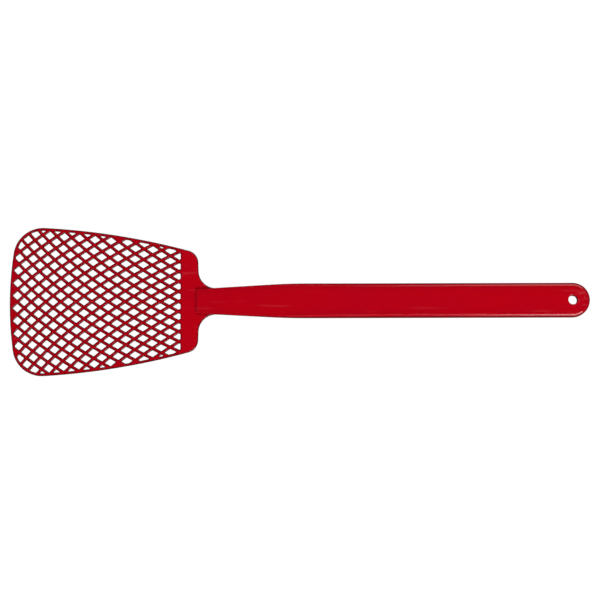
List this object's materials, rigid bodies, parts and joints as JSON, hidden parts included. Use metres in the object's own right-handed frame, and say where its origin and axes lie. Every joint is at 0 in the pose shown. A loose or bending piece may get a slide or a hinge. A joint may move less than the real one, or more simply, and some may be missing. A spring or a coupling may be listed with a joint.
{
  "type": "fly swatter",
  "caption": "Flat plastic fly swatter: fan-shaped blade with a diamond mesh, riveted under the squared front end of a long tapered channel handle with a round end and a hang hole.",
  "frame": {"origin": "middle of the swatter's length and width, on the back face that it lies on", "axes": "+X from the blade's far edge to the hang hole, +Y across the blade, +Z out of the striking face"},
  "size_m": [0.4064, 0.1046, 0.007],
  "materials": {
    "blade_plastic": "injection-moulded polyolefin, satin gloss",
    "handle_plastic": "injection-moulded polyolefin, satin gloss",
    "rivet_plastic": "plain moulded, satin"
  },
  "bodies": {
    "root": {"blade": "blade_plastic", "handle": "handle_plastic", "front_rivet": "rivet_plastic", "rear_rivet": "rivet_plastic"}
  },
  "joints": []
}
